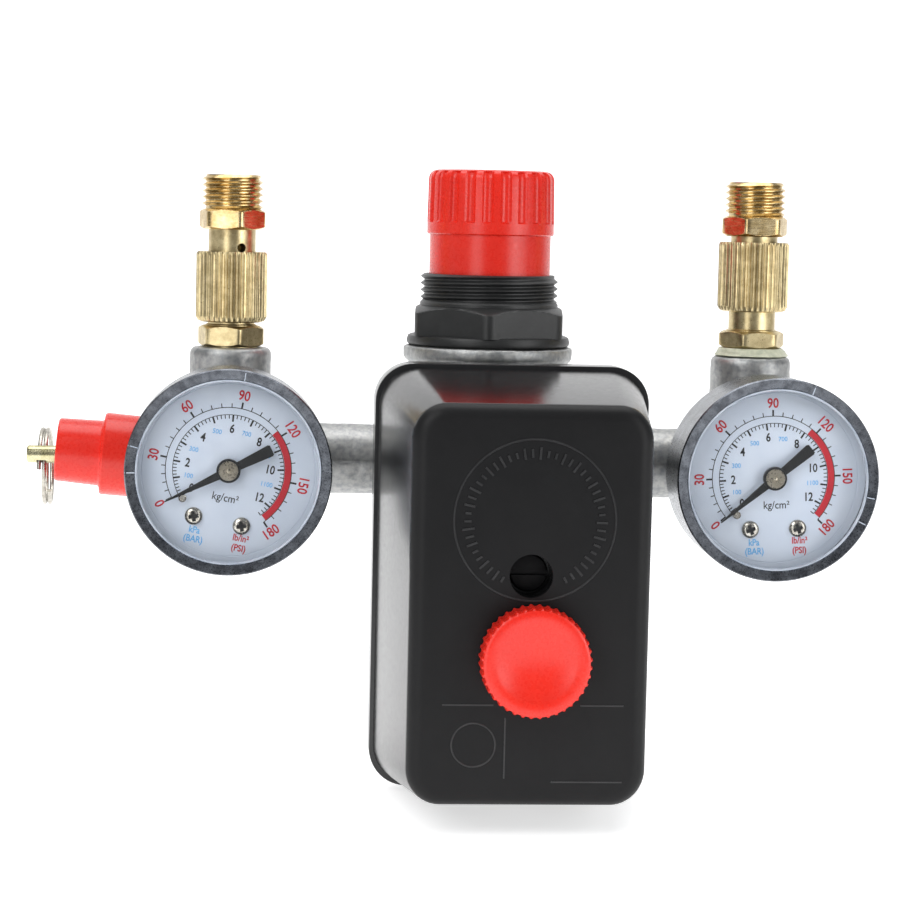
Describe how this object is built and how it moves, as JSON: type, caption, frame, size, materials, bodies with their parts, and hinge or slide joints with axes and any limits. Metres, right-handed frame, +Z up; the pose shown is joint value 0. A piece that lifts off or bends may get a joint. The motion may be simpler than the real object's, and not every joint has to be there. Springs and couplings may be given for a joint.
{
  "type": "pressure switch",
  "caption": "Compressor pressure switch hung in front of a manifold with regulator, gauges, hand slide valves and a ring-pull safety valve.",
  "frame": {"origin": "centre of the mouth of the threaded inlet under the middle of the manifold", "axes": "+X along the manifold to the right, +Y to the back away from the gauges' faces, +Z up"},
  "size_m": [0.18, 0.0976, 0.1299],
  "materials": {
    "die_cast": "rough as-cast",
    "brass": "machined",
    "steel": "zinc plated",
    "spring_steel": "drawn wire",
    "nickel": "polished",
    "dark_chrome": "dark polished",
    "yellow_zinc": "yellow zinc",
    "black_plastic": "glossy",
    "black_nylon": "satin",
    "red_plastic": "satin gloss",
    "white_plastic": "satin",
    "rubber": "moulded",
    "dial_print": "printed",
    "pointer_black": "painted",
    "clear": "clear",
    "copper": "strip",
    "tape": "film"
  },
  "bodies": {
    "manifold": {"manifold_casting": "die_cast", "manifold_end_plug": "brass", "valve_seat": "brass", "poppet_spring": "spring_steel", "regulator_diaphragm": "rubber", "diaphragm_plate": "steel", "regulator_spring": "spring_steel", "regulator_bonnet": "black_nylon", "left_valve_body": "brass", "left_valve_outlet": "brass", "right_valve_body": "brass", "right_valve_outlet": "brass", "valve_orings": "rubber", "right_valve_thread_seal": "tape", "left_gauge_stem": "brass", "left_gauge_case": "dark_chrome", "left_gauge_dial": "dial_print", "left_gauge_lens": "clear", "right_gauge_stem": "brass", "right_gauge_case": "dark_chrome", "right_gauge_dial": "dial_print", "right_gauge_lens": "clear", "gauge_movements": "brass", "bourdon_tubes": "brass", "dial_screws": "nickel", "safety_valve_body": "brass", "safety_valve_nut": "brass", "safety_valve_spring": "spring_steel", "safety_valve_cap": "red_plastic", "diaphragm_housing": "die_cast", "switch_diaphragm": "rubber", "housing_screws": "steel", "switch_base": "black_plastic", "lever_pin": "steel", "spring_bridge": "steel", "range_screws": "steel", "range_springs": "spring_steel", "contact_block": "black_nylon", "fixed_contacts": "copper", "terminal_screws": "steel", "switch_cover": "black_plastic", "cover_screw": "steel", "cable_grommets": "rubber"},
    "adjusting_screw": {"adjusting_screw": "steel"},
    "regulator_knob": {"regulator_knob": "red_plastic"},
    "spring_seat": {"spring_seat": "brass"},
    "poppet": {"poppet_valve": "brass"},
    "left_sleeve": {"left_valve_sleeve": "brass"},
    "right_sleeve": {"right_valve_sleeve": "brass"},
    "left_pointer": {"left_gauge_pointer": "pointer_black"},
    "right_pointer": {"right_gauge_pointer": "pointer_black"},
    "left_sector": {"left_gauge_sector": "brass"},
    "right_sector": {"right_gauge_sector": "brass"},
    "safety_stem": {"safety_valve_stem": "yellow_zinc"},
    "pull_ring": {"safety_valve_ring": "nickel"},
    "piston": {"switch_piston": "white_plastic"},
    "lever": {"contact_lever": "steel", "moving_contacts": "copper"},
    "on_off_knob": {"on_off_knob": "red_plastic", "knob_rod": "steel"}
  },
  "joints": [
    {"name": "adjusting_screw_turn", "type": "hinge", "parent": "manifold", "child": "adjusting_screw", "pos_m": [0, 0, 0.085], "axis": [0, 0, -1], "range_deg": [0, 1680]},
    {"name": "knob_lock_slide", "type": "slide", "parent": "adjusting_screw", "child": "regulator_knob", "axis": [0, 0, -1], "range_m": [0, 0.003]},
    {"name": "spring_seat_slide", "type": "slide", "parent": "manifold", "child": "spring_seat", "axis": [0, 0, -1], "range_m": [0, 0.007], "deforming": ["regulator_spring"]},
    {"name": "poppet_slide", "type": "slide", "parent": "manifold", "child": "poppet", "axis": [0, 0, -1], "range_m": [0, 0.0012], "stiffness_N_per_m": 500, "springref_m": -0.002, "deforming": ["poppet_spring"]},
    {"name": "left_sleeve_slide", "type": "slide", "parent": "manifold", "child": "left_sleeve", "axis": [0, 0, 1], "range_m": [0, 0.004]},
    {"name": "right_sleeve_slide", "type": "slide", "parent": "manifold", "child": "right_sleeve", "axis": [0, 0, 1], "range_m": [-0.0035, 0.0005]},
    {"name": "left_sector_turn", "type": "hinge", "parent": "manifold", "child": "left_sector", "pos_m": [-0.05454, -0.0262, 0.04483], "axis": [0, -1, 0], "range_deg": [0, 43.6], "stiffness_Nm_per_rad": 0.02},
    {"name": "left_pointer_turn", "type": "hinge", "parent": "manifold", "child": "left_pointer", "pos_m": [-0.0563, -0.0305, 0.036], "axis": [0, 1, 0], "range_deg": [0, 262], "stiffness_Nm_per_rad": 0.0002},
    {"name": "right_sector_turn", "type": "hinge", "parent": "manifold", "child": "right_sector", "pos_m": [0.05814, -0.0262, 0.04499], "axis": [0, -1, 0], "range_deg": [0, 43.6], "stiffness_Nm_per_rad": 0.02},
    {"name": "right_pointer_turn", "type": "hinge", "parent": "manifold", "child": "right_pointer", "pos_m": [0.0585, -0.0305, 0.036], "axis": [0, 1, 0], "range_deg": [0, 262], "stiffness_Nm_per_rad": 0.0002},
    {"name": "safety_stem_slide", "type": "slide", "parent": "manifold", "child": "safety_stem", "axis": [-1, 0, 0], "range_m": [0, 0.003], "stiffness_N_per_m": 2000, "springref_m": -0.001},
    {"name": "pull_ring_swing", "type": "hinge", "parent": "safety_stem", "child": "pull_ring", "pos_m": [-0.0969, 0, 0.036], "axis": [0, 0.4067, 0.9135], "range_deg": [-6, 180]},
    {"name": "lever_turn", "type": "hinge", "parent": "manifold", "child": "lever", "pos_m": [0.0027, -0.038, 0.042], "axis": [-1, 0, 0], "range_deg": [0, 2], "stiffness_Nm_per_rad": 0.5, "springref_deg": -2.86},
    {"name": "piston_slide", "type": "slide", "parent": "manifold", "child": "piston", "axis": [0, -1, 0], "range_m": [0, 0.00072]},
    {"name": "on_off_slide", "type": "slide", "parent": "manifold", "child": "on_off_knob", "axis": [0, -1, 0], "range_m": [0, 0.005]}
  ],
  "couplings": [
    {"joint": "adjusting_screw_turn", "follows": "spring_seat_slide", "rad_per_m": 4188.8},
    {"joint": "left_pointer_turn", "follows": "left_sector_turn", "ratio": 6},
    {"joint": "right_pointer_turn", "follows": "right_sector_turn", "ratio": 6},
    {"joint": "lever_turn", "follows": "piston_slide", "rad_per_m": 48.48}
  ]
}
